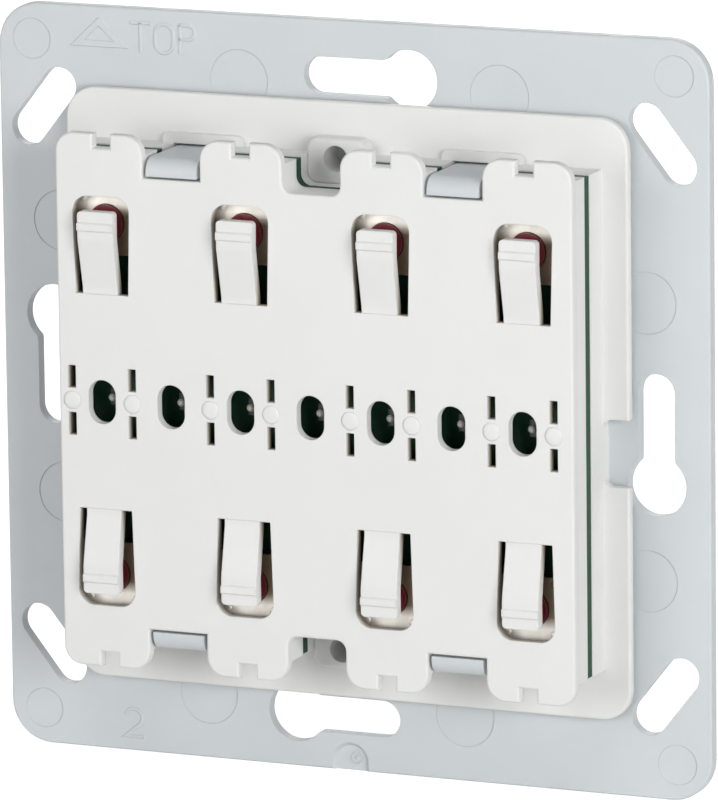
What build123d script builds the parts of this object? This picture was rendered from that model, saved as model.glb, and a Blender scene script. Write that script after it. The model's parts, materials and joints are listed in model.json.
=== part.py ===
from build123d import *
import os

# Flat wall pushbutton module: a mounting plate, a clipped-on base, a circuit board and a
# front cover whose eight sprung tongues press eight tact switches. Millimetres.
# The finished part stands upright: X right, Z up, front towards -Y, and the origin is the
# centre of the plate's back face. Pieces are drawn lying on their back: X right, Y up the
# wall, Z the height above the wall. upright() turns them when they are written.

# Mounting plate
plate_side = 71.0
plate_thick = 1.2
plate_corner_radius = 4.0
plate_edge_radius = 0.25
keyhole_edge = 5.25
keyhole_slot_width = 3.5
keyhole_slot_reach = 4.45
keyhole_bulb_diameter = 5.7
keyhole_bulb_offset = 6.0
keyhole_neck_radius = 0.6
corner_slot_edge_x = 4.55
corner_slot_edge_y = 9.75
corner_slot_width = 3.5
corner_slot_length = 8.6
corner_slot_angle = 52.0
ejector_mark_depth = 0.08
edge_mark_diameter = 5.8
edge_mark_edge = 6.2
edge_mark_near = 11.0
edge_mark_far = 15.0
corner_mark_diameter = 3.8
corner_mark_edge = 3.4
gate_recess_x = -0.65
gate_recess_width = 3.7
gate_recess_height = 2.7
gate_recess_depth = 0.4
gate_recess_slope = 40.0

# Stack above the plate, from the wall outwards
flange_gap = 0.55
flange_thick = 0.85
cell_wall_gap = 0.5
board_thick = 1.3
switch_cover_gap = 0.7
cover_thick = 1.0

# Columns of buttons, and the tabs and gaps at the cover's ends
columns = 4
column_pitch = 14.0
outer_margin = 4.67
cover_height = 50.4
cover_edge_radius = 0.25
tab_overhang = 1.8
side_overhang = 0.17
gap_width = 5.8
hook_gap_depth = 3.9
centre_gap_depth = 4.4
centre_gap_radius = 1.0
tab_corner_radius = 1.8
tab_notch_width = 1.75
tab_notch_depth = 1.4
skirt_wall = 0.8

# Openings of the front cover
middle_row_shift = -0.3
window_width = 2.75
window_height = 4.15
clip_slot_width = 0.8
clip_slot_height = 2.15
clip_slot_offset = 3.05
clip_bar_height = 2.3
clip_dimple_diameter = 1.7
clip_dimple_depth = 0.12
slot_shift = -0.12
slot_far_radius = 1.5

# Press tongues
tongue_shift = -0.3
switch_edge = 8.6
press_arm = 6.45
tongue_tip_overhang = 1.45
tongue_root_width = 3.5
tongue_tip_width = 3.6
tongue_thick = 1.0
tongue_rise = 0.95
tongue_bend_start = 0.6
tongue_flat_before_rib = 1.2
tongue_bend_radius = 2.0
tongue_tip_radius = 0.4
tongue_root_side_gap = 0.9
tongue_tip_side_gap = 1.1
tongue_end_gap = 1.3
rib_width = 0.8
rib_height = 0.2
rib_chamfer = 0.12
pusher_diameter = 1.6
pusher_gap = 0.1

# Tact switches
switch_side = 6.0
switch_body_height = 1.65
switch_floor = 0.5
switch_metal_thick = 0.2
switch_leg_width = 2.0
switch_leg_length = 1.4
plunger_diameter = 3.5
plunger_collar_diameter = 4.2
plunger_collar_thick = 0.3
plunger_collar_gap = 0.1
plunger_proud = 0.4
plunger_travel = 0.35
plunger_clearance = 0.05
collar_clearance = 0.1
dome_diameter = 3.6
dome_crown_diameter = 1.8
dome_press_gap = 0.1
dome_thick = 0.08
terminal_width = 0.7
terminal_length = 1.0
terminal_thick = 0.25
terminal_spacing = 4.5

# Base housing
base_wall = 1.2
base_floor = 0.8
flange_ledge_x = 2.55
flange_ledge_y = 4.7
flange_corner_radius = 2.9
flange_edge_radius = 0.25
flange_notch_low = -6.1
flange_notch_high = 0.2
flange_notch_radius = 0.9
pocket_rim_side = 1.15
pocket_rim_outer = 1.0
pocket_rim_height = 0.45
pocket_rim_radius = 0.6
ledge_height = 2.2
boss_overlap = 0.05
boss_reach = 1.6
boss_edge_radius = 0.4
boss_front_drop = 1.05
boss_hole_diameter = 2.4
boss_hole_inset = 0.25

# Snap hooks of the plate
hook_side_clearance = 0.35
hook_clearance = 0.2
hook_head_depth = 1.7
hook_arm_thick = 1.0
hook_head_height = 2.6
hook_head_slope = 0.5
hook_front_drop = 0.1
hook_round = 1.4
barb_height = 1.0
barb_tip_height = 0.4
barb_gap = 0.1
ledge_clearance = 0.3

# Circuit board and what is on it
board_inset = 0.1
pin_x = 14.0
pin_y = 9.0
pin_diameter = 2.0
pin_hole_clearance = 0.15
pin_socket_clearance = 0.05
pin_socket_wall = 0.8
led_length = 1.6
led_width = 0.8
led_base_height = 0.8
led_lens_diameter = 0.7
led_lens_height = 0.7
led_lens_chamfer = 0.15
cell_diameter = 20.0
cell_thick = 3.2
cell_rim_chamfer = 0.3
cell_clip_gap = 0.2
cell_opening_clearance = 0.5
minus_contact_diameter = 8.0
minus_contact_thick = 0.25
clip_strap_width = 6.0
clip_strap_thick = 0.3
clip_foot_length = 2.0
chip_side = 5.0
chip_height = 0.9
chip_x = 18.0
chip_y = 3.0
crystal_width = 3.2
crystal_depth = 2.5
crystal_height = 0.8
crystal_y = -1.75
capacitor_length = 1.6
capacitor_width = 0.8
capacitor_height = 0.8
capacitor_pitch = 3.0
capacitor_count = 3

# Heights above the wall
plate_front = plate_thick
flange_back = plate_front + flange_gap
flange_front = flange_back + flange_thick
clip_strap_low = plate_front + cell_wall_gap
cell_low = clip_strap_low + clip_strap_thick
cell_top = cell_low + cell_thick
board_back = cell_top + minus_contact_thick
board_front = board_back + board_thick
switch_body_top = board_front + switch_body_height
switch_top = switch_body_top + switch_metal_thick
plunger_top = switch_top + plunger_proud
collar_top = switch_body_top - plunger_collar_gap
collar_low = collar_top - plunger_collar_thick
dome_top = collar_low - plunger_travel - dome_press_gap
cover_back = switch_top + switch_cover_gap
cover_front = cover_back + cover_thick
tongue_top = cover_front + tongue_rise
rib_top = tongue_top + rib_height
hook_top = cover_front - hook_front_drop

# Outlines that the pieces share
cover_width = (columns - 1) * column_pitch + 2 * outer_margin
core_width = cover_width - 2 * side_overhang
core_height = cover_height - 2 * tab_overhang
flange_width = core_width + 2 * flange_ledge_x
flange_height = core_height + 2 * flange_ledge_y
tab_end = cover_height / 2
core_end = core_height / 2
hook_gap_end = tab_end - hook_gap_depth
hook_head_in = hook_gap_end + hook_clearance
hook_arm_out = hook_head_in + hook_head_depth
hook_arm_in = hook_arm_out - hook_arm_thick
hook_pocket_end = hook_arm_out + hook_clearance
hook_width = gap_width - 2 * hook_side_clearance
tongue_length = press_arm + tongue_tip_overhang
slot_root_width = tongue_root_width + 2 * tongue_root_side_gap
slot_far_width = tongue_tip_width + 2 * tongue_tip_side_gap
slot_length = tongue_length + tongue_end_gap
switch_line = tab_end - switch_edge
tongue_root = switch_line - press_arm
column_places = [(i - (columns - 1) / 2) * column_pitch for i in range(columns)]
window_places = [middle_row_shift + (i - (columns - 1)) * column_pitch / 2 for i in range(2 * columns - 1)]
hook_places = [-column_pitch, column_pitch]
ends = [1, -1]


def raised(outline, low, high):
    """The outline as a solid between two heights above the wall."""
    return Pos(0, 0, low) * extrude(outline, high - low)


def cylinder(diameter, low, high):
    return raised(Circle(diameter / 2), low, high)


def at_both_ends(solid):
    """The solid and its copy turned half round, at the module's other end."""
    return solid + Rot(0, 0, 180) * solid


def edges_at(solid, height):
    """Outer edges of the solid's flat face at this height."""
    top = solid.faces().filter_by(Plane.XY).group_by(Axis.Z)
    face = [group for group in top if abs(group[0].center().Z - height) < 1e-6][0][0]
    return face.outer_wire().edges()


def gap_cuts(margin):
    """The gaps between the tabs, widened by a margin."""
    width = gap_width + 2 * margin
    hook_gap = Rectangle(width, 2 * (hook_gap_depth + margin))
    centre_gap = RectangleRounded(width, 2 * (centre_gap_depth + margin), centre_gap_radius + margin)
    cuts = Sketch()
    for end in ends:
        cuts += Pos(0, end * tab_end) * centre_gap
        cuts += [Pos(x, end * tab_end) * hook_gap for x in hook_places]
    return cuts


def core_outline(inset):
    """Outline of the module's walls below the tabs, drawn in by an inset."""
    return Rectangle(core_width - 2 * inset, core_height - 2 * inset) - gap_cuts(inset)


def keyhole():
    """Keyhole at the plate's top edge, with its bulb on the right."""
    length = keyhole_slot_reach + keyhole_bulb_offset + keyhole_slot_width / 2
    middle = length / 2 - keyhole_slot_reach
    slot = Pos(middle, 0) * SlotOverall(length, keyhole_slot_width)
    bulb = Pos(keyhole_bulb_offset, 0) * Circle(keyhole_bulb_diameter / 2)
    outline = slot + bulb
    necks = [v for v in outline.vertices() if 0 < v.X < keyhole_bulb_offset]
    return Pos(0, plate_side / 2 - keyhole_edge) * fillet(necks, keyhole_neck_radius)


def hook():
    """Snap hook at the upper end, standing on the plate; the barb points to the middle."""
    barb_low = plate_front + ledge_height + barb_gap
    barb_high = barb_low + barb_height
    head_low = hook_top - hook_head_height
    side = Plane(origin=(0, 0, 0), x_dir=(0, 1, 0), z_dir=(1, 0, 0))
    inner = Polyline(
        (hook_arm_out, plate_front),
        (hook_arm_in, plate_front),
        (hook_arm_in, barb_low),
        (hook_head_in, barb_low),
        (hook_head_in, barb_low + barb_tip_height),
        (hook_arm_in, barb_high),
        (hook_arm_in, head_low),
        (hook_head_in, head_low + hook_head_slope),
        (hook_head_in, hook_top),
        (hook_arm_out - hook_round, hook_top),
    )
    crown = TangentArc(inner @ 1, (hook_arm_out, hook_top - hook_round), tangent=(1, 0))
    profile = make_face(inner + crown + Line(crown @ 1, inner @ 0))
    return extrude(side * profile, hook_width / 2, both=True)


def hook_window():
    """Opening in the plate below a hook's barb, which lets the barb be moulded."""
    return Pos(0, hook_arm_in - hook_head_depth / 2) * Rectangle(hook_width, hook_head_depth)


def gate_recess():
    """Scoop with sloping walls at the plate's bottom edge, where the plate was moulded from."""
    arch = SlotOverall(2 * gate_recess_height, gate_recess_width, rotation=90)
    scoop = Rot(180, 0, 0) * extrude(arch, gate_recess_depth, taper=gate_recess_slope)
    return Pos(gate_recess_x, -plate_side / 2, plate_front) * scoop


def mounting_plate():
    outline = RectangleRounded(plate_side, plate_side, plate_corner_radius)
    plate = raised(outline, 0, plate_front)
    plate = fillet(edges_at(plate, plate_front), plate_edge_radius)
    slot = SlotOverall(corner_slot_length, corner_slot_width)
    slot_x = plate_side / 2 - corner_slot_edge_x
    slot_y = plate_side / 2 - corner_slot_edge_y
    edge_mark_line = plate_side / 2 - edge_mark_edge
    corner_mark_place = plate_side / 2 - corner_mark_edge
    edge_mark = Circle(edge_mark_diameter / 2)
    corner_mark = Circle(corner_mark_diameter / 2)
    holes = Sketch()
    marks = Sketch()
    for quarter in range(4):
        turn = Rot(0, 0, -90 * quarter)
        holes += turn * keyhole()
        marks += turn * Pos(-edge_mark_near, edge_mark_line) * edge_mark
        marks += turn * Pos(edge_mark_far, edge_mark_line) * edge_mark
        marks += turn * Pos(corner_mark_place, corner_mark_place) * corner_mark
    for end in ends:
        for side in ends:
            lean = -corner_slot_angle * end * side
            holes += Pos(side * slot_x, end * slot_y) * Rot(0, 0, lean) * slot
    for x in hook_places:
        holes += at_both_ends(Pos(x, 0) * hook_window())
    plate -= raised(holes, 0, plate_front)
    plate -= raised(marks, plate_front - ejector_mark_depth, plate_front)
    plate -= gate_recess()
    for x in hook_places:
        plate += at_both_ends(Pos(x, 0) * hook())
    return plate


def flange():
    """Thin collar round the base, notched on both sides."""
    collar = raised(
        RectangleRounded(flange_width, flange_height, flange_corner_radius), flange_back, flange_front
    )
    collar = fillet(edges_at(collar, flange_front), flange_edge_radius)
    notch_height = flange_notch_high - flange_notch_low
    notch_middle = (flange_notch_high + flange_notch_low) / 2
    notch = RectangleRounded(2 * flange_ledge_x, notch_height, flange_notch_radius)
    notch = Pos(core_width / 2 + flange_ledge_x, notch_middle) * notch
    return collar - at_both_ends(raised(notch, flange_back, flange_front))


def hook_opening():
    """Opening for a hook at the upper end, right through the base and its collar."""
    depth = hook_pocket_end - hook_gap_end
    outline = Pos(0, hook_gap_end + depth / 2) * Rectangle(gap_width, depth)
    return raised(outline, plate_front, board_back)


def hook_rim():
    """Low rounded rim on the collar, round a hook's opening."""
    depth = hook_pocket_end + pocket_rim_outer - hook_gap_end
    block = RectangleRounded(gap_width + 2 * pocket_rim_side, depth, pocket_rim_radius)
    return raised(Pos(0, hook_gap_end + depth / 2) * block, flange_back, flange_front + pocket_rim_height)


def hook_ledge():
    """Ledge inside a hook pocket that the hook's barb catches."""
    depth = hook_arm_in - ledge_clearance - hook_gap_end
    outline = Pos(0, hook_gap_end + depth / 2) * Rectangle(gap_width, depth)
    return raised(outline, plate_front, plate_front + ledge_height)


def screw_boss():
    """Boss at the upper end that fills the centre gap and reaches over the flange."""
    low = tab_end - centre_gap_depth - boss_overlap
    high = core_end + boss_reach
    front = board_back - boss_front_drop
    block = RectangleRounded(gap_width + 2 * boss_overlap, high - low, centre_gap_radius + boss_overlap)
    boss = raised(Pos(0, (low + high) / 2) * block, plate_front, front)
    return fillet(edges_at(boss, front), boss_edge_radius)


def base_housing():
    base = raised(core_outline(0), plate_front, board_back) + flange()
    base -= raised(core_outline(base_wall), plate_front + base_floor, board_back)
    for x in hook_places:
        base += at_both_ends(Pos(x, 0) * hook_rim())
        base -= at_both_ends(Pos(x, 0) * hook_opening())
        base += at_both_ends(Pos(x, 0) * hook_ledge())
    base += at_both_ends(screw_boss())
    hole = Pos(0, core_end - boss_hole_inset) * cylinder(boss_hole_diameter, plate_front, board_back)
    base -= at_both_ends(hole)
    base -= raised(cell_opening(), plate_front, plate_front + base_floor)
    socket_bore = pin_diameter + 2 * pin_socket_clearance
    socket = cylinder(socket_bore + 2 * pin_socket_wall, plate_front, board_back)
    bore = cylinder(socket_bore, plate_front + base_floor, board_back)
    for pin in pin_places():
        base = base + pin * socket - pin * bore
    return base


def cell_opening():
    """Opening in the base's floor through which the cell and its clip are reached."""
    clip_span = cell_diameter + 2 * (cell_clip_gap + clip_strap_thick)
    room = 2 * cell_opening_clearance
    clip_room = Rectangle(clip_span + room, clip_strap_width + room)
    return Circle((cell_diameter + room) / 2) + clip_room


def pin_places():
    return [Pos(x * pin_x, y * pin_y) for x in ends for y in ends]


def circuit_board():
    board = raised(core_outline(board_inset), board_back, board_front)
    hole = cylinder(pin_diameter + 2 * pin_hole_clearance, board_back, board_front)
    for pin in pin_places():
        board -= pin * hole
    return board


def cover_outline():
    outline = Rectangle(cover_width, cover_height) - gap_cuts(0)
    corners = [v for v in outline.vertices() if abs(abs(v.Y) - tab_end) < 1e-6]
    outline = fillet(corners, tab_corner_radius)
    notch = Rectangle(tab_notch_width, 2 * tab_notch_depth)
    for end in ends:
        outline -= [Pos(x, end * tab_end) * notch for x in column_places]
    return outline


def widening_outline(root_width, far_width, length, far_radius):
    """Outline from the upper tongues' root line to a wider far end with round corners."""
    corners = Polyline(
        (-root_width / 2, 0),
        (root_width / 2, 0),
        (far_width / 2, length),
        (-far_width / 2, length),
        close=True,
    )
    outline = make_face(corners)
    outline = fillet(outline.vertices().group_by(Axis.Y)[-1], far_radius)
    return Pos(0, tongue_root) * outline


def tongue_slot():
    """Opening round an upper tongue, with its root edge at the bottom."""
    return widening_outline(slot_root_width, slot_far_width, slot_length, slot_far_radius)


def clip_slots():
    """One pair of thin clip slots on either side of a column, above and below the middle."""
    slot = Rectangle(clip_slot_width, clip_slot_height)
    lift = (clip_bar_height + clip_slot_height) / 2
    return [Pos(x * clip_slot_offset, y * lift) * slot for x in ends for y in ends]


def front_cover():
    cover = raised(cover_outline(), cover_back, cover_front)
    cover = fillet(edges_at(cover, cover_front), cover_edge_radius)
    cover += raised(core_outline(0) - core_outline(skirt_wall), board_front, cover_back)
    window = SlotOverall(window_height, window_width, rotation=90)
    holes = Sketch() + [Pos(x, 0) * window for x in window_places]
    dimple = cylinder(clip_dimple_diameter, cover_front - clip_dimple_depth, cover_front)
    for x in column_places:
        column = Pos(x + slot_shift, 0)
        middle = Pos(x + middle_row_shift, 0)
        holes += [middle * slot for slot in clip_slots()]
        holes += column * tongue_slot()
        holes += column * Rot(0, 0, 180) * tongue_slot()
        cover -= [middle * Pos(side * clip_slot_offset, 0) * dimple for side in ends]
    cover -= raised(holes, cover_back, cover_front)
    pin = cylinder(pin_diameter, plate_front + base_floor, cover_back)
    for place in pin_places():
        cover += place * pin
    return cover


def tongue():
    """Press tongue of the upper row: a leaf that ramps up, a cross rib and a pusher below."""
    side = Plane(origin=(0, tongue_root, 0), x_dir=(0, 1, 0), z_dir=(1, 0, 0))
    bend_end = press_arm - tongue_flat_before_rib
    top = FilletPolyline(
        (0, cover_front),
        (tongue_bend_start, cover_front),
        (bend_end, tongue_top),
        (tongue_length, tongue_top),
        radius=tongue_bend_radius,
    )
    bottom = Pos(0, -tongue_thick) * top
    root_edge = Line((0, cover_front), (0, cover_front - tongue_thick))
    tip_edge = Line((tongue_length, tongue_top), (tongue_length, tongue_top - tongue_thick))
    leaf = extrude(side * make_face(top + bottom + root_edge + tip_edge), tongue_tip_width, both=True)
    rib = raised(Rectangle(2 * tongue_tip_width, rib_width), tongue_top, rib_top)
    rib = chamfer(edges_at(rib, rib_top).filter_by(Axis.X), rib_chamfer)
    outline = widening_outline(tongue_root_width, tongue_tip_width, tongue_length, tongue_tip_radius)
    leaf = (leaf + Pos(0, switch_line) * rib) & raised(outline, cover_back, rib_top)
    pusher = cylinder(pusher_diameter, plunger_top + pusher_gap, tongue_top - tongue_thick)
    return leaf + Pos(0, switch_line) * pusher


def switch_body():
    cavity = plunger_collar_diameter + 2 * collar_clearance
    body = raised(Rectangle(switch_side, switch_side), board_front, switch_body_top)
    return body - cylinder(cavity, board_front + switch_floor, switch_body_top)


def switch_metal():
    """Metal top plate with two legs folded down over the body's sides."""
    width = switch_side + 2 * switch_metal_thick
    top = raised(Rectangle(width, switch_side), switch_body_top, switch_top)
    leg = raised(
        Rectangle(switch_metal_thick, switch_leg_width), switch_body_top - switch_leg_length, switch_body_top
    )
    for side in ends:
        top += Pos(side * (switch_side + switch_metal_thick) / 2, 0) * leg
    return top - cylinder(plunger_diameter + 2 * plunger_clearance, switch_body_top, switch_top)


def switch_plunger():
    collar = cylinder(plunger_collar_diameter, collar_low, collar_top)
    return collar + cylinder(plunger_diameter, collar_low, plunger_top)


def contact_dome():
    """Snap dome on the floor of the switch body, a thin flat-topped cone."""
    floor = board_front + switch_floor
    foot = dome_diameter / 2
    crown = dome_crown_diameter / 2
    profile = Polyline(
        (foot, floor),
        (crown, dome_top - dome_thick),
        (0, dome_top - dome_thick),
        (0, dome_top),
        (crown, dome_top),
        (foot, floor + dome_thick),
        close=True,
    )
    return revolve(Plane.XZ * make_face(profile), Axis.Z)


def switch_terminals():
    """Four solder terminals of one switch, at its upper and lower sides."""
    terminal = raised(
        Rectangle(terminal_width, terminal_length), board_front, board_front + terminal_thick
    )
    out = (switch_side + terminal_length) / 2
    return [Pos(x * terminal_spacing / 2, y * out) * terminal for x in ends for y in ends]


def led():
    base = raised(Rectangle(led_width, led_length), board_front, board_front + led_base_height)
    lens_low = board_front + led_base_height
    lens = cylinder(led_lens_diameter, lens_low, lens_low + led_lens_height)
    lens = chamfer(edges_at(lens, lens_low + led_lens_height), led_lens_chamfer)
    return base + lens


def coin_cell():
    cell = cylinder(cell_diameter, cell_low, cell_top)
    return chamfer(cell.edges().filter_by(GeomType.CIRCLE), cell_rim_chamfer)


def battery_clip():
    """Plus clip: a strap across the cell's wall side, with legs and feet on the board."""
    inner = cell_diameter / 2 + cell_clip_gap
    outer = inner + clip_strap_thick
    foot_end = outer + clip_foot_length
    strap = raised(Rectangle(2 * outer, clip_strap_width), clip_strap_low, cell_low)
    leg = raised(Rectangle(clip_strap_thick, clip_strap_width), clip_strap_low, board_back)
    foot_length = foot_end - inner
    foot = raised(Rectangle(foot_length, clip_strap_width), board_back - clip_strap_thick, board_back)
    for side in ends:
        strap += Pos(side * (inner + clip_strap_thick / 2), 0) * leg
        strap += Pos(side * (inner + foot_length / 2), 0) * foot
    return strap


def minus_contact():
    return cylinder(minus_contact_diameter, cell_top, board_back)


def radio_chip():
    chip = raised(Rectangle(chip_side, chip_side), board_back - chip_height, board_back)
    return Pos(chip_x, chip_y) * chip


def crystal():
    can = raised(Rectangle(crystal_width, crystal_depth), board_back - crystal_height, board_back)
    return Pos(chip_x, crystal_y) * can


def capacitors():
    block = raised(
        Rectangle(capacitor_length, capacitor_width), board_back - capacitor_height, board_back
    )
    first = crystal_y - crystal_depth / 2 - capacitor_pitch
    return [Pos(chip_x, first - i * capacitor_pitch) * block for i in range(capacitor_count)]


def button_places():
    """Where each button's pieces go: upper row left to right, then the lower row."""
    upper = [Pos(x + tongue_shift, 0) for x in column_places]
    return upper + [place * Rot(0, 0, 180) for place in upper]


def upright(shape):
    """Stands a piece drawn on its back against the wall."""
    return Plane(origin=(0, 0, 0), x_dir=(1, 0, 0), z_dir=(0, -1, 0)) * shape


def write(name, shape):
    export_step(upright(shape), f"parts/{name}.step")


def write_each(name, shape, spots):
    """One numbered piece at each of the spots."""
    for number, spot in enumerate(spots, start=1):
        write(f"{name}_{number}", spot * shape)


os.makedirs("parts", exist_ok=True)
write("mounting_plate", mounting_plate())
write("base_housing", base_housing())
write("circuit_board", circuit_board())
write("front_cover", front_cover())
places = button_places()
seats = [place * Pos(0, switch_line) for place in places]
write_each("button_tongue", tongue(), places)
write_each("switch_body", switch_body(), seats)
write_each("switch_metal", switch_metal(), seats)
write_each("switch_plunger", switch_plunger(), seats)
write("contact_domes", Compound([seat * contact_dome() for seat in seats]))
write("switch_terminals", Compound([seat * pin for seat in seats for pin in switch_terminals()]))
write("status_leds", Compound([Pos(x, 0) * led() for x in window_places]))
write("coin_cell", coin_cell())
write("battery_clip", battery_clip())
write("minus_contact", minus_contact())
write("radio_chip", radio_chip())
write("crystal", crystal())
write("capacitors", Compound(capacitors()))
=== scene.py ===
import json
import math
import bmesh
import bpy
from mathutils import Matrix, Vector


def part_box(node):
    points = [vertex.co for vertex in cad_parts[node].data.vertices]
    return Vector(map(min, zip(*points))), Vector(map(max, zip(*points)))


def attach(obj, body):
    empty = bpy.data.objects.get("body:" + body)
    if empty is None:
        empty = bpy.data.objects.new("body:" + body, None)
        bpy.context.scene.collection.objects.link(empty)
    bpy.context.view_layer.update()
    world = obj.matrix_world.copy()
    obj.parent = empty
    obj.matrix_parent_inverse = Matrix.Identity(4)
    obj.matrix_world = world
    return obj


# Looks of a flat wall pushbutton module: a grey mounting plate, a white base and front cover,
# and the circuit board with its tact switches, which show through the cover's openings.
# Metres; X right, Z up, the front faces -Y, and the plate's back lies on the plane Y = 0.

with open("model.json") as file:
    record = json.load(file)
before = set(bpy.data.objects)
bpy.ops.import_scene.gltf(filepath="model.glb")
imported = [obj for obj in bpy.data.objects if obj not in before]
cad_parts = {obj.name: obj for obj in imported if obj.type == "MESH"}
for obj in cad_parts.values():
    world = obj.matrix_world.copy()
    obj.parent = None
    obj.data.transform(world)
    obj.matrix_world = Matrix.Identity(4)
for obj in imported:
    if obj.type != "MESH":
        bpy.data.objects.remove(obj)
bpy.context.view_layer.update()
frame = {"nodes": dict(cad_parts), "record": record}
nodes = frame["nodes"]
slot_of = {row["node"]: row["material_slot"] for row in frame["record"]["subparts"]}

MM = 0.001

# Camera
CAMERA_AZIMUTH = math.radians(23.276)
CAMERA_ELEVATION = math.radians(11.814)
CAMERA_ROLL = math.radians(-0.712)
CAMERA_DISTANCE = 842.115 * MM
CAMERA_TARGET = Vector((0.153, 0.0, -0.308)) * MM
FOCAL_PIXELS = 9083.5
IMAGE_HEIGHT_PIXELS = 800
SENSOR_MM = 36.0
CLIP_NEAR = 0.01
CLIP_FAR = 20.0

# Places taken from the frame
PLATE_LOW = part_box("mounting_plate")[0].z
BOARD_FRONT = -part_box("circuit_board")[0].y
SWITCH_TOP = -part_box("switch_metal_1")[0].y
SWITCH_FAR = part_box("switch_metal_1")[1].z
SWITCH_COUNT = sum(name.startswith("switch_metal_") for name in nodes)
COVER_FRONT = -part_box("front_cover")[0].y

# Sizes of the solids that no box of the frame gives
PLATE_FRONT = 1.2 * MM
SCOOP_DEPTH = 0.4 * MM
COLUMN_COUNT = 4
COLUMN_PITCH = 14.0 * MM
MIDDLE_ROW_SHIFT = -0.3 * MM
OVAL_PITCH = COLUMN_PITCH / 2
PIP_REACH = 3.05 * MM
TERMINAL_REACH = 2.25 * MM
LED_BASE = 0.8 * MM

# Where painted shade darkens the walls of the cover's openings: how far out, how deep, and how far from
# the ovals
OPENINGS_X = 24.95 * MM
OPENINGS_Z = 20.7 * MM
SHADE_START = 0.10 * MM
SHADE_END = 1.2 * MM
OVAL_CLEAR_X = 2.0 * MM
OVAL_CLEAR_Z = 3.0 * MM

# Where painted shade on the switches' metal tops gives way to their own colour, inwards from their far
# ends
FULL_SHADE_REACH = 2.3 * MM
UNSHADED_REACH = 1.2 * MM

# Where a lamp's lens starts over its base, and half the width of that change of colour
LENS_MARGIN = 0.06 * MM
LENS_BLUR = 0.03 * MM

# Moulded marks on the plate
MARK_HEIGHT = 0.09 * MM
MARK_SINK = 0.03 * MM
STROKE_WIDTH = 0.46 * MM
STROKE_TOP = 0.4
MITRE_LIMIT = 0.35
CAP_LOW = 31.42 * MM
CAP_HIGH = 34.15 * MM
ARC_STEPS = 8

# Colours
WHITE = (0.80, 0.80, 0.785)
GREY = (0.619, 0.652, 0.671)
MASK_GREEN = (0.015, 0.064, 0.034)
EPOXY_BLACK = (0.028, 0.028, 0.030)
PLATE_METAL = (0.90, 0.86, 0.79)
# Painted shade on the switches' metal tops, away from their far ends
SWITCH_PAINTED_SHADE = (0.34, 0.27, 0.20)
DARK_RED = (0.155, 0.014, 0.021)
SPRING_STEEL = (0.72, 0.72, 0.70)
TIN = (0.76, 0.76, 0.74)
NICKEL = (0.70, 0.70, 0.69)
MILKY = (0.62, 0.60, 0.55)
LED_DARK = (0.020, 0.045, 0.034)
CERAMIC = (0.30, 0.22, 0.14)
# Painted shade as colour multipliers: none, half way and full down the openings' walls, then where half
# way lies on the ramp. The first also ends the painted shade on the switch tops
UNSHADED = (1.0, 1.0, 1.0)
HALF_DEEP_PAINTED_SHADE = (0.55, 0.48, 0.39)
DEEP_PAINTED_SHADE = (0.09, 0.07, 0.05)
HALF_DEEP = 0.4

# Noise mostly stays between these values
NOISE_LOW = 0.3
NOISE_HIGH = 0.7
EDGE_SAMPLES = 6

# Stage
FLOOR_SIDE = 6.0
FLOOR_GAP = 0.05 * MM
FLOOR_TONE = 0.86
FLOOR_GLOW = 0.80
AMBIENT = 0.16


def lerp(a, b, share):
    return a + (b - a) * share


# Node helpers

def new_material(name):
    """An empty node material with its Principled shader, ready to be wired."""
    material = bpy.data.materials.new(name)
    material.use_nodes = True
    tree = material.node_tree
    shader = tree.nodes["Principled BSDF"]
    return material, tree, shader


def object_coordinates(tree):
    return tree.nodes.new("ShaderNodeTexCoord").outputs["Object"]


def stretched(tree, vector, scale):
    mapping = tree.nodes.new("ShaderNodeMapping")
    mapping.inputs["Scale"].default_value = scale
    tree.links.new(vector, mapping.inputs["Vector"])
    return mapping.outputs["Vector"]


def noise(tree, vector, feature, detail=3.0, roughness=0.55):
    """Noise whose features are about this many metres across."""
    node = tree.nodes.new("ShaderNodeTexNoise")
    node.inputs["Scale"].default_value = 1.0 / feature
    node.inputs["Detail"].default_value = detail
    node.inputs["Roughness"].default_value = roughness
    tree.links.new(vector, node.inputs["Vector"])
    return node.outputs["Fac"]


def spread(tree, value, low, high, start=NOISE_LOW, end=NOISE_HIGH):
    """The value stretched from start..end to low..high."""
    node = tree.nodes.new("ShaderNodeMapRange")
    node.inputs["From Min"].default_value = start
    node.inputs["From Max"].default_value = end
    node.inputs["To Min"].default_value = low
    node.inputs["To Max"].default_value = high
    tree.links.new(value, node.inputs["Value"])
    return node.outputs["Result"]


def blend_colours(tree, value, dark, light):
    """Dark where the value is low for noise, light where it is high."""
    ramp = tree.nodes.new("ShaderNodeValToRGB")
    ramp.color_ramp.elements[0].position = NOISE_LOW
    ramp.color_ramp.elements[0].color = (*dark, 1.0)
    ramp.color_ramp.elements[1].position = NOISE_HIGH
    ramp.color_ramp.elements[1].color = (*light, 1.0)
    tree.links.new(value, ramp.inputs["Fac"])
    return ramp.outputs["Color"]


def soft_edges(tree, radius):
    node = tree.nodes.new("ShaderNodeBevel")
    node.samples = EDGE_SAMPLES
    node.inputs["Radius"].default_value = radius
    return node.outputs["Normal"]


def bumped(tree, height, distance, strength, normal=None):
    node = tree.nodes.new("ShaderNodeBump")
    node.inputs["Strength"].default_value = strength
    node.inputs["Distance"].default_value = distance
    tree.links.new(height, node.inputs["Height"])
    if normal is not None:
        tree.links.new(normal, node.inputs["Normal"])
    return node.outputs["Normal"]


def shade(colour, factor):
    return tuple(channel * factor for channel in colour)


def axis_of(tree, place, axis):
    node = tree.nodes.new("ShaderNodeSeparateXYZ")
    tree.links.new(place, node.inputs["Vector"])
    return node.outputs[axis]


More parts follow.
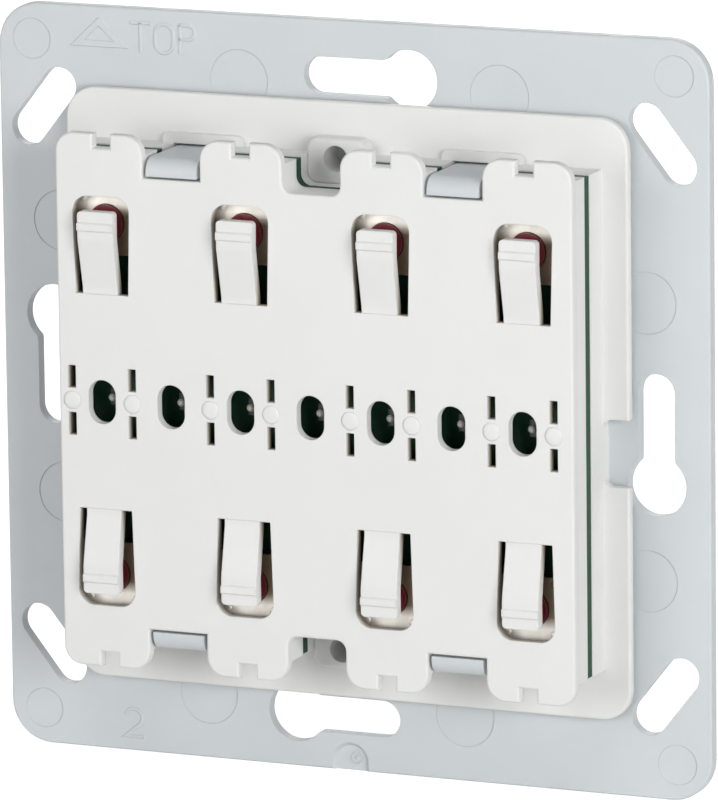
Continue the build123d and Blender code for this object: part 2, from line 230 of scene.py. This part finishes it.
def arithmetic(tree, operation, *terms):
    """One step of arithmetic, whose terms are values of other nodes or plain numbers."""
    node = tree.nodes.new("ShaderNodeMath")
    node.operation = operation
    for socket, term in zip(node.inputs, terms):
        if isinstance(term, float):
            socket.default_value = term
        else:
            tree.links.new(term, socket)
    return node.outputs["Value"]


def size_of(tree, value):
    return arithmetic(tree, "ABSOLUTE", value)


def below(tree, value, limit):
    """1 where the value is less than the limit, else 0."""
    return arithmetic(tree, "LESS_THAN", value, limit)


def multiplied(tree, first, second):
    """Two colours multiplied."""
    node = tree.nodes.new("ShaderNodeMix")
    node.data_type = "RGBA"
    node.blend_type = "MULTIPLY"
    node.inputs["Factor"].default_value = 1.0
    tree.links.new(first, node.inputs["A"])
    tree.links.new(second, node.inputs["B"])
    return node.outputs["Result"]


def oval_share(tree, x, z):
    """1 round the oval windows, which stand in one evenly spaced row, else 0."""
    along_row = arithmetic(tree, "SUBTRACT", x, MIDDLE_ROW_SHIFT)
    from_oval = arithmetic(tree, "WRAP", along_row, OVAL_PITCH / 2, -OVAL_PITCH / 2)
    beside = below(tree, size_of(tree, from_oval), OVAL_CLEAR_X)
    return arithmetic(tree, "MULTIPLY", beside, below(tree, size_of(tree, z), OVAL_CLEAR_Z))


def painted_shade_in_openings(tree, place, colour):
    """The colour with painted shade, warmer and darker down the walls of the cover's narrow openings."""
    x, y, z = (axis_of(tree, place, axis) for axis in "XYZ")
    deep = spread(tree, y, 0.0, 1.0, start=SHADE_START - COVER_FRONT, end=SHADE_END - COVER_FRONT)
    narrow = arithmetic(tree, "SUBTRACT", 1.0, oval_share(tree, x, z))
    for share in (
        narrow,
        below(tree, y, -BOARD_FRONT),
        below(tree, size_of(tree, x), OPENINGS_X),
        below(tree, size_of(tree, z), OPENINGS_Z),
    ):
        deep = arithmetic(tree, "MULTIPLY", deep, share)
    # Painted shade: a ramp from no shade at the rim to deep shade down the walls
    tone = tree.nodes.new("ShaderNodeValToRGB")
    ramp = tone.color_ramp
    ramp.elements[0].color = (*UNSHADED, 1.0)
    ramp.elements[1].color = (*DEEP_PAINTED_SHADE, 1.0)
    middle = ramp.elements.new(HALF_DEEP)
    middle.color = (*HALF_DEEP_PAINTED_SHADE, 1.0)
    tree.links.new(deep, tone.inputs["Fac"])
    return multiplied(tree, colour, tone.outputs["Color"])


# Materials, one for each slot of the record

def moulded_plastic(name, colour, mottle, roughness, edge_radius):
    """Matt moulded plastic: faint cloudy colour, painted shade down the walls of the cover's openings,
    fine spark-eroded grain and soft edges.
    """
    material, tree, shader = new_material(name)
    place = object_coordinates(tree)
    clouds = noise(tree, place, feature=9 * MM, detail=4.0)
    tone = blend_colours(tree, clouds, shade(colour, 1 - mottle), shade(colour, 1 + mottle))
    # Painted shade down the walls of the cover's openings
    tone = painted_shade_in_openings(tree, place, tone)
    tree.links.new(tone, shader.inputs["Base Color"])
    patches = noise(tree, place, feature=2.5 * MM)
    sheen = spread(tree, patches, low=roughness - 0.05, high=roughness + 0.06)
    tree.links.new(sheen, shader.inputs["Roughness"])
    grain = noise(tree, place, feature=0.14 * MM, detail=2.0)
    edges = soft_edges(tree, edge_radius)
    relief = bumped(tree, grain, distance=0.006 * MM, strength=0.35, normal=edges)
    tree.links.new(relief, shader.inputs["Normal"])
    shader.inputs["Specular IOR Level"].default_value = 0.35
    return material


def solder_mask(name, colour):
    """Glossy green mask over glass cloth, whose weave shows faintly."""
    material, tree, shader = new_material(name)
    place = object_coordinates(tree)
    clouds = noise(tree, place, feature=3 * MM, detail=5.0)
    tone = blend_colours(tree, clouds, shade(colour, 0.85), shade(colour, 1.2))
    tree.links.new(tone, shader.inputs["Base Color"])
    weave = tree.nodes.new("ShaderNodeTexWave")
    weave.inputs["Scale"].default_value = 1.0 / (2.2 * MM)
    weave.inputs["Distortion"].default_value = 0.6
    tree.links.new(place, weave.inputs["Vector"])
    relief = bumped(tree, weave.outputs["Fac"], distance=0.004 * MM, strength=0.3)
    tree.links.new(relief, shader.inputs["Normal"])
    sheen = spread(tree, clouds, low=0.34, high=0.52)
    tree.links.new(sheen, shader.inputs["Roughness"])
    shader.inputs["Specular IOR Level"].default_value = 0.15
    return material


def strip_metal(name, colour, roughness, metallic, painted_shade=None):
    """Stamped and plated strip with fine rolling lines; the optional colour paints shade on it away from
    the switches' far ends.
    """
    material, tree, shader = new_material(name)
    place = object_coordinates(tree)
    lines = noise(tree, stretched(tree, place, (1.0, 1.0, 0.06)), feature=0.12 * MM, detail=4.0)
    stains = noise(tree, place, feature=1.6 * MM, detail=4.0)
    tone = blend_colours(tree, stains, shade(colour, 0.86), shade(colour, 1.05))
    # Painted shade: darker away from the switches' far ends, where the cover and tongues shade the metal
    if painted_shade is not None:
        far = size_of(tree, axis_of(tree, place, "Z"))
        full_shade_at, unshaded_at = SWITCH_FAR - FULL_SHADE_REACH, SWITCH_FAR - UNSHADED_REACH
        share = spread(tree, far, NOISE_LOW, NOISE_HIGH, start=full_shade_at, end=unshaded_at)
        tone = multiplied(tree, tone, blend_colours(tree, share, painted_shade, UNSHADED))
    tree.links.new(tone, shader.inputs["Base Color"])
    sheen = spread(tree, lines, low=roughness - 0.08, high=roughness + 0.1)
    tree.links.new(sheen, shader.inputs["Roughness"])
    edges = soft_edges(tree, radius=0.04 * MM)
    relief = bumped(tree, lines, distance=0.003 * MM, strength=0.3, normal=edges)
    tree.links.new(relief, shader.inputs["Normal"])
    shader.inputs["Metallic"].default_value = metallic
    return material


def glossy_moulding(name, colour, roughness):
    """Smooth hard plastic or resin with a few fine flow marks."""
    material, tree, shader = new_material(name)
    place = object_coordinates(tree)
    flow = noise(tree, stretched(tree, place, (1.0, 1.0, 0.35)), feature=0.9 * MM, detail=4.0)
    tone = blend_colours(tree, flow, shade(colour, 0.85), shade(colour, 1.12))
    tree.links.new(tone, shader.inputs["Base Color"])
    sheen = spread(tree, flow, low=roughness - 0.05, high=roughness + 0.08)
    tree.links.new(sheen, shader.inputs["Roughness"])
    edges = soft_edges(tree, radius=0.06 * MM)
    relief = bumped(tree, flow, distance=0.004 * MM, strength=0.25, normal=edges)
    tree.links.new(relief, shader.inputs["Normal"])
    return material


def lamp_resin(name, base, lens, roughness):
    """A lamp's dark base with a milky lens on it, told apart by height."""
    material, tree, shader = new_material(name)
    place = object_coordinates(tree)
    step = -BOARD_FRONT - LED_BASE - LENS_MARGIN
    depth = axis_of(tree, place, "Y")
    share = spread(tree, depth, low=1.0, high=0.0, start=step - LENS_BLUR, end=step + LENS_BLUR)
    tree.links.new(blend_colours(tree, share, base, lens), shader.inputs["Base Color"])
    flow = noise(tree, place, feature=0.5 * MM)
    sheen = spread(tree, flow, low=roughness - 0.05, high=roughness + 0.08)
    tree.links.new(sheen, shader.inputs["Roughness"])
    return material


finishes = {
    "white_plastic": moulded_plastic(
        "white_plastic", WHITE, mottle=0.012, roughness=0.50, edge_radius=0.15 * MM
    ),
    "grey_plastic": moulded_plastic(
        "grey_plastic", GREY, mottle=0.018, roughness=0.46, edge_radius=0.10 * MM
    ),
    "board_green": solder_mask("board_green", MASK_GREEN),
    "chip_black": glossy_moulding("chip_black", EPOXY_BLACK, roughness=0.45),
    "switch_metal": strip_metal(
        "switch_metal", PLATE_METAL, roughness=0.42, metallic=0.6, painted_shade=SWITCH_PAINTED_SHADE
    ),
    "plunger_red": glossy_moulding("plunger_red", DARK_RED, roughness=0.30),
    "spring_steel": strip_metal("spring_steel", SPRING_STEEL, roughness=0.28, metallic=1.0),
    "tinned_metal": strip_metal("tinned_metal", TIN, roughness=0.36, metallic=1.0),
    "cell_steel": strip_metal("cell_steel", NICKEL, roughness=0.25, metallic=1.0),
    "led_epoxy": lamp_resin("led_epoxy", LED_DARK, MILKY, roughness=0.20),
    "capacitor_brown": glossy_moulding("capacitor_brown", CERAMIC, roughness=0.50),
}


def dress_cad_nodes():
    """Each solid gets the finish of its slot in the record."""
    for name, node in nodes.items():
        for material_slot in node.material_slots:
            material_slot.material = finishes[slot_of[name]]


# Mesh helpers

def add_piece(name, bm, slot, body="module"):
    """A finished mesh as a piece that takes its looks from a slot and rides on a body."""
    bmesh.ops.recalc_face_normals(bm, faces=bm.faces)
    mesh = bpy.data.meshes.new(name)
    bm.to_mesh(mesh)
    bm.free()
    piece = bpy.data.objects.new(name, mesh)
    bpy.context.scene.collection.objects.link(piece)
    mesh.materials.append(finishes[slot])
    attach(piece, body)
    return piece


def stand_off(x, z, height):
    """A point above the wall: x and z along the wall, height towards the front."""
    return Vector((x, -height, z))


def offsets_along(path, closed):
    """For each point of a flat path, the sideways vector that keeps a stroke's width."""
    count = len(path)
    sideways = []
    for i, point in enumerate(path):
        before = path[i - 1] if closed or i > 0 else None
        after = path[(i + 1) % count] if closed or i < count - 1 else None
        ways = [(b - a).normalized() for a, b in ((before, point), (point, after)) if a and b]
        normals = [Vector((-way.y, way.x)) for way in ways]
        mean = sum(normals, Vector((0.0, 0.0))).normalized()
        sideways.append(mean / max(mean.dot(normals[0]), MITRE_LIMIT))
    return sideways


def add_stroke(bm, path, width, top_share, low, high, closed=False):
    """A raised line with sloping sides along a flat path of (x, z) points."""
    path = [Vector(point) for point in path]
    section = ((-0.5, low), (-0.5 * top_share, high), (0.5 * top_share, high), (0.5, low))
    rings = []
    for point, side in zip(path, offsets_along(path, closed)):
        ring = []
        for share, height in section:
            place = point + side * (share * width)
            ring.append(bm.verts.new(stand_off(place.x, place.y, height)))
        rings.append(ring)
    pairs = list(zip(rings, rings[1:]))
    if closed:
        pairs.append((rings[-1], rings[0]))
    else:
        bm.faces.new(rings[0])
        bm.faces.new(rings[-1])
    for here, there in pairs:
        for i in range(len(section)):
            j = (i + 1) % len(section)
            bm.faces.new((here[i], here[j], there[j], there[i]))


def profile_on(surface, points):
    """A turned shape's profile from (radius, height) points in millimetres, over a surface."""
    return [(radius * MM, surface + height * MM) for radius, height in points]


def add_round(bm, x, z, profile, stretch=1.0, segments=20):
    """A turned shape about an axis towards the front; the profile runs from rim to crown."""
    rings = []
    for radius, height in profile:
        ring = []
        for i in range(segments):
            turn = 2 * math.pi * i / segments
            reach = Vector((radius * math.cos(turn), stretch * radius * math.sin(turn)))
            ring.append(bm.verts.new(stand_off(x + reach.x, z + reach.y, height)))
        rings.append(ring)
    for here, there in zip(rings, rings[1:]):
        for i in range(segments):
            j = (i + 1) % segments
            bm.faces.new((here[i], here[j], there[j], there[i]))
    bm.faces.new(rings[0])
    bm.faces.new(rings[-1])


def arc(centre_x, centre_z, radius, start, end, steps=ARC_STEPS):
    """Points of an arc between two angles in degrees."""
    turns = [math.radians(lerp(start, end, i / steps)) for i in range(steps + 1)]
    return [(centre_x + radius * math.cos(t), centre_z + radius * math.sin(t)) for t in turns]


# Marks moulded on the plate

def add_mark(bm, path, closed=False, width=STROKE_WIDTH, top_share=STROKE_TOP):
    low, high = PLATE_FRONT - MARK_SINK, PLATE_FRONT + MARK_HEIGHT
    add_stroke(bm, path, width, top_share, low, high, closed)


def top_triangle():
    """Triangle that points to the plate's upper edge, a flat raised band."""
    tip = (-25.20 * MM, 34.05 * MM)
    left = (-27.42 * MM, 31.98 * MM)
    right = (-22.92 * MM, 31.96 * MM)
    bm = bmesh.new()
    add_mark(bm, [tip, left, right], closed=True, width=0.70 * MM, top_share=0.72)
    add_piece("top_triangle", bm, "grey_plastic")


def top_word():
    """The reading mark for the upper side, in plain single strokes."""
    bm = bmesh.new()
    bar_left, bar_right = -21.95 * MM, -19.95 * MM
    stem = (bar_left + bar_right) / 2
    add_mark(bm, [(bar_left, CAP_HIGH), (bar_right, CAP_HIGH)])
    add_mark(bm, [(stem, CAP_HIGH), (stem, CAP_LOW)])
    round_x, round_radius = -18.55 * MM, 0.92 * MM
    upper = arc(round_x, CAP_HIGH - round_radius, round_radius, 0, 180)
    lower = arc(round_x, CAP_LOW + round_radius, round_radius, 180, 360)
    add_mark(bm, upper + lower, closed=True)
    post, bowl_reach, bowl_radius = -16.95 * MM, 0.85 * MM, 0.66 * MM
    bowl = arc(post + bowl_reach, CAP_HIGH - bowl_radius, bowl_radius, 90, -90)
    add_mark(bm, [(post, CAP_LOW), (post, CAP_HIGH)])
    add_mark(bm, [(post, CAP_HIGH)] + bowl + [(post, CAP_HIGH - 2 * bowl_radius)])
    add_piece("top_word", bm, "grey_plastic")


def cavity_digit():
    """The digit of the mould cavity, in one stroke."""
    bm = bmesh.new()
    bowl_x, bowl_z, bowl_radius = -22.85 * MM, -32.30 * MM, 0.88 * MM
    foot_left, foot_right, foot_z = -23.75 * MM, -21.90 * MM, -34.10 * MM
    bowl = arc(bowl_x, bowl_z, bowl_radius, 165, -45)
    add_mark(bm, bowl + [(foot_left, foot_z), (foot_right, foot_z)])
    add_piece("cavity_digit", bm, "grey_plastic")


def gate_mark():
    """Ring and stub where the plate was moulded from, in the scoop at its lower edge."""
    scoop_floor = PLATE_FRONT - SCOOP_DEPTH
    low, high = scoop_floor - MARK_SINK, scoop_floor + 0.1 * MM
    x, z = -0.12 * MM, -34.28 * MM
    ring_radius, ring_width, ring_points = 0.55 * MM, 0.24 * MM, 24
    ring = arc(x, z, ring_radius, 0, 360 - 360 / ring_points, steps=ring_points - 1)
    bm = bmesh.new()
    add_stroke(bm, ring, ring_width, STROKE_TOP, low, high, closed=True)
    add_round(bm, x, z, profile_on(scoop_floor, [(0.20, -0.03), (0.18, 0.10), (0.10, 0.16)]))
    add_piece("gate_mark", bm, "grey_plastic")


# Round pips on the cover

def clip_pips():
    """Low domes over the round dimples between the thin clip slots."""
    dome = [(0.92, -0.03), (0.88, 0.012), (0.72, 0.060), (0.50, 0.090), (0.20, 0.105)]
    profile = profile_on(COVER_FRONT, dome)
    bm = bmesh.new()
    for column in range(COLUMN_COUNT):
        middle = (column - (COLUMN_COUNT - 1) / 2) * COLUMN_PITCH + MIDDLE_ROW_SHIFT
        for side in (-PIP_REACH, PIP_REACH):
            add_round(bm, middle + side, 0.0, profile, segments=32)
    for face in bm.faces:
        face.smooth = True
    add_piece("clip_pips", bm, "white_plastic")


# Details on the circuit board, which show through the openings

def box_middle(name):
    low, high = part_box(name)
    return (low.x + high.x) / 2, (low.z + high.z) / 2


def switch_middles():
    """The middle of each switch as (x, z), in the order of their numbers."""
    return [box_middle(f"switch_metal_{number}") for number in range(1, SWITCH_COUNT + 1)]


def places_round(x, z, reach_x, reach_z):
    """The four places at these distances to either side of a middle."""
    return [(x + i * reach_x, z + j * reach_z) for i in (-1, 1) for j in (-1, 1)]


def switch_rivets():
    """Four riveted studs that hold each switch's metal top."""
    reach = 2.35 * MM
    profile = profile_on(SWITCH_TOP, [(0.42, -0.02), (0.40, 0.05), (0.28, 0.10), (0.10, 0.12)])
    for number, (x, z) in enumerate(switch_middles(), start=1):
        bm = bmesh.new()
        for place_x, place_z in places_round(x, z, reach, reach):
            add_round(bm, place_x, place_z, profile)
        add_piece(f"switch_rivets_{number}", bm, "switch_metal")


def solder_joints():
    """Solder that has run up each switch terminal."""
    joint_reach = 3.75 * MM
    mound = [(0.62, 0.0), (0.52, 0.10), (0.40, 0.24), (0.26, 0.33), (0.10, 0.36)]
    profile = profile_on(BOARD_FRONT, mound)
    bm = bmesh.new()
    for x, z in switch_middles():
        for place_x, place_z in places_round(x, z, TERMINAL_REACH, joint_reach):
            add_round(bm, place_x, place_z, profile, stretch=1.2, segments=16)
    add_piece("solder_joints", bm, "tinned_metal")


def board_tracks():
    """Copper tracks under the mask, from the switches to the lamps in the middle row."""
    track_width, track_top = 0.38 * MM, 0.8
    track_low, track_high = BOARD_FRONT - 0.01 * MM, BOARD_FRONT + 0.045 * MM
    foot_reach, lamp_row, turn = 4.0 * MM, 2.2 * MM, 1.6 * MM
    drifts = (-1.25 * MM, 0.4 * MM)
    bm = bmesh.new()
    for x, z in switch_middles():
        up = math.copysign(1.0, z)
        for drift in drifts:
            for side in (-1, 1):
                start = x + side * TERMINAL_REACH
                end = start + side * drift
                path = [
                    (start, z - up * foot_reach),
                    (start, up * (lamp_row + 2 * turn)),
                    (end, up * (lamp_row + turn)),
                    (end, up * lamp_row),
                ]
                add_stroke(bm, path, track_width, track_top, track_low, track_high)
    add_piece("board_tracks", bm, "board_green")


# Stage

def white_to_camera(tree, lit_shader, seen_shader):
    """The lit shader for light that bounces, the seen one for the camera, mirrors and glass."""
    path = tree.nodes.new("ShaderNodeLightPath")
    seen = path.outputs["Is Camera Ray"]
    for name in ("Is Glossy Ray", "Is Transmission Ray"):
        seen = arithmetic(tree, "MAXIMUM", seen, path.outputs[name])
    mix = tree.nodes.new("ShaderNodeMixShader")
    tree.links.new(seen, mix.inputs["Fac"])
    tree.links.new(lit_shader, mix.inputs[1])
    tree.links.new(seen_shader, mix.inputs[2])
    return mix.outputs["Shader"]


def floor():
    """Pale floor under the plate's lower edge; it keeps a faint shadow."""
    bm = bmesh.new()
    bmesh.ops.create_grid(bm, x_segments=1, y_segments=1, size=FLOOR_SIDE / 2)
    mesh = bpy.data.meshes.new("floor")
    bm.to_mesh(mesh)
    bm.free()
    ground = bpy.data.objects.new("floor", mesh)
    ground.location.z = PLATE_LOW - FLOOR_GAP
    bpy.context.scene.collection.objects.link(ground)
    material = bpy.data.materials.new("floor")
    material.use_nodes = True
    tree = material.node_tree
    tree.nodes.remove(tree.nodes["Principled BSDF"])
    matt = tree.nodes.new("ShaderNodeBsdfDiffuse")
    matt.inputs["Color"].default_value = (FLOOR_TONE, FLOOR_TONE, FLOOR_TONE, 1.0)
    glow = tree.nodes.new("ShaderNodeEmission")
    glow.inputs["Strength"].default_value = FLOOR_GLOW
    seen = tree.nodes.new("ShaderNodeAddShader")
    tree.links.new(matt.outputs["BSDF"], seen.inputs[0])
    tree.links.new(glow.outputs["Emission"], seen.inputs[1])
    surface = white_to_camera(tree, matt.outputs["BSDF"], seen.outputs["Shader"])
    tree.links.new(surface, tree.nodes["Material Output"].inputs["Surface"])
    mesh.materials.append(material)


def surroundings():
    """Even studio light all round, white where the camera sees past the floor."""
    world = bpy.data.worlds.new("studio")
    world.use_nodes = True
    bpy.context.scene.world = world
    tree = world.node_tree
    ambient = tree.nodes["Background"]
    ambient.inputs["Color"].default_value = (1.0, 1.0, 1.0, 1.0)
    ambient.inputs["Strength"].default_value = AMBIENT
    white = tree.nodes.new("ShaderNodeBackground")
    white.inputs["Color"].default_value = (1.0, 1.0, 1.0, 1.0)
    white.inputs["Strength"].default_value = 1.0
    surface = white_to_camera(tree, ambient.outputs["Background"], white.outputs["Background"])
    tree.links.new(surface, tree.nodes["World Output"].inputs["Surface"])


def softbox(name, place, size, power):
    """A square lamp that faces the origin."""
    lamp = bpy.data.lights.new(name, "AREA")
    lamp.shape = "SQUARE"
    lamp.size = size
    lamp.energy = power
    holder = bpy.data.objects.new(name, lamp)
    holder.location = place
    holder.rotation_mode = "QUATERNION"
    holder.rotation_quaternion = (-Vector(place)).to_track_quat("-Z", "Y")
    bpy.context.scene.collection.objects.link(holder)


def lamps():
    softbox("key", place=(0.44, -0.35, 0.09), size=0.24, power=1.86)
    softbox("left_fill", place=(-0.42, -0.74, 0.16), size=0.38, power=2.2)
    softbox("top_fill", place=(0.05, -0.34, 0.80), size=0.50, power=1.25)
    softbox("back_fill", place=(-0.20, 0.75, 0.40), size=0.40, power=1.6)


def camera():
    """Camera on a line to its target; the roll turns the picture about that line."""
    sideways = math.cos(CAMERA_ELEVATION)
    back = Vector((
        math.sin(CAMERA_AZIMUTH) * sideways,
        -math.cos(CAMERA_AZIMUTH) * sideways,
        math.sin(CAMERA_ELEVATION),
    ))
    right = Vector((0.0, 0.0, 1.0)).cross(back).normalized()
    up = back.cross(right)
    turn = Matrix((right, up, back)).transposed() @ Matrix.Rotation(CAMERA_ROLL, 3, "Z")
    lens = bpy.data.cameras.new("camera")
    lens.sensor_fit = "AUTO"
    lens.sensor_width = SENSOR_MM
    lens.lens = FOCAL_PIXELS * SENSOR_MM / IMAGE_HEIGHT_PIXELS
    lens.clip_start = CLIP_NEAR
    lens.clip_end = CLIP_FAR
    holder = bpy.data.objects.new("camera", lens)
    holder.matrix_world = Matrix.Translation(CAMERA_TARGET + back * CAMERA_DISTANCE) @ turn.to_4x4()
    bpy.context.scene.collection.objects.link(holder)
    bpy.context.scene.camera = holder


dress_cad_nodes()
top_triangle()
top_word()
cavity_digit()
gate_mark()
clip_pips()
switch_rivets()
solder_joints()
board_tracks()
floor()
surroundings()
lamps()
camera()
bpy.context.scene.view_settings.view_transform = "Standard"
